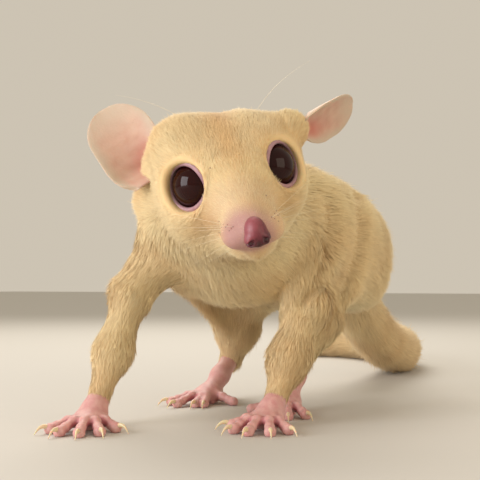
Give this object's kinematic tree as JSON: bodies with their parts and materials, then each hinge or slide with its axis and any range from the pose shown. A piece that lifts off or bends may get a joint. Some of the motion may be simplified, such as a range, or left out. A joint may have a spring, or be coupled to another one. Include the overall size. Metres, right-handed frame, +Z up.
{
  "type": "sugar glider",
  "caption": "Life-size still model of a sugar glider crouched on all fours, head raised and turned, with large dark eyes, broad bare ears and a long furred tail curled on the floor.",
  "frame": {"origin": "on the floor under the middle of the animal's bounding box", "axes": "+Z up from the floor, the body's length runs along Y with the nose towards -Y, +X towards the animal's left"},
  "size_m": [0.1052, 0.2352, 0.0768],
  "materials": {
    "fur": "matt",
    "fur_shade": "matt",
    "ear": "satin",
    "bare_skin": "satin",
    "lid": "satin",
    "nose": "moist",
    "eye": "gloss",
    "claw": "satin"
  },
  "bodies": {
    "root": {"head": "fur", "jaw": "fur", "nose": "nose", "eye_left": "eye", "eyelids_left": "lid", "eye_right": "eye", "eyelids_right": "lid", "ear_left": "ear", "ear_right": "ear", "neck": "fur", "torso_front": "fur", "torso_rear": "fur", "upper_arm_left": "fur", "forearm_left": "fur", "thigh_left": "fur_shade", "shin_left": "fur_shade", "membrane_left": "fur_shade", "hand_left": "bare_skin", "claw_hand_left_1": "claw", "claw_hand_left_2": "claw", "claw_hand_left_3": "claw", "claw_hand_left_4": "claw", "claw_hand_left_5": "claw", "foot_left": "bare_skin", "claw_foot_left_2": "claw", "claw_foot_left_3": "claw", "claw_foot_left_4": "claw", "claw_foot_left_5": "claw", "upper_arm_right": "fur", "forearm_right": "fur", "thigh_right": "fur_shade", "shin_right": "fur_shade", "membrane_right": "fur_shade", "hand_right": "bare_skin", "claw_hand_right_1": "claw", "claw_hand_right_2": "claw", "claw_hand_right_3": "claw", "claw_hand_right_4": "claw", "claw_hand_right_5": "claw", "foot_right": "bare_skin", "claw_foot_right_2": "claw", "claw_foot_right_3": "claw", "claw_foot_right_4": "claw", "claw_foot_right_5": "claw", "tail_1": "fur", "tail_2": "fur", "tail_3": "fur", "tail_4": "fur", "tail_5": "fur"}
  },
  "joints": []
}
